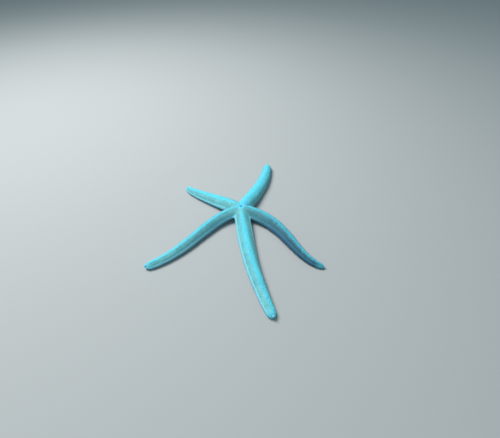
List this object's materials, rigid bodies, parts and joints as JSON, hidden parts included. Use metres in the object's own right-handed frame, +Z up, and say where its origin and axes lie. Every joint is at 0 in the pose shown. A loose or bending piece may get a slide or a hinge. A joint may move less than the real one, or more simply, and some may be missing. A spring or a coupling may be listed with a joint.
{
  "type": "sea star",
  "caption": "Slender-armed sea star at life size, lying still with bent arms and a small disc, for display.",
  "frame": {"origin": "centre of the whole animal's box at the floor it lies on", "axes": "+Z up from the floor, +Y away from the viewer towards the back arm, +X to the viewer's right"},
  "size_m": [0.1667, 0.2096, 0.0148],
  "materials": {
    "skin": "matt, damp skin set with fine limy granules, pale along each arm's ridge with a tan pore band on each side",
    "plate": "matt limy plate with fine grooves or granules"
  },
  "bodies": {
    "root": {"disc": "skin", "arm_right_base": "skin", "arm_right_middle": "skin", "arm_right_tip": "skin", "arm_back_base": "skin", "arm_back_middle": "skin", "arm_back_tip": "skin", "arm_back_left_base": "skin", "arm_back_left_middle": "skin", "arm_back_left_tip": "skin", "arm_front_left_base": "skin", "arm_front_left_middle": "skin", "arm_front_left_tip": "skin", "arm_front_base": "skin", "arm_front_middle": "skin", "arm_front_tip": "skin", "sieve_plate": "plate", "arm_right_end_plate": "plate", "arm_back_end_plate": "plate", "arm_back_left_end_plate": "plate", "arm_front_left_end_plate": "plate", "arm_front_end_plate": "plate"}
  },
  "joints": []
}
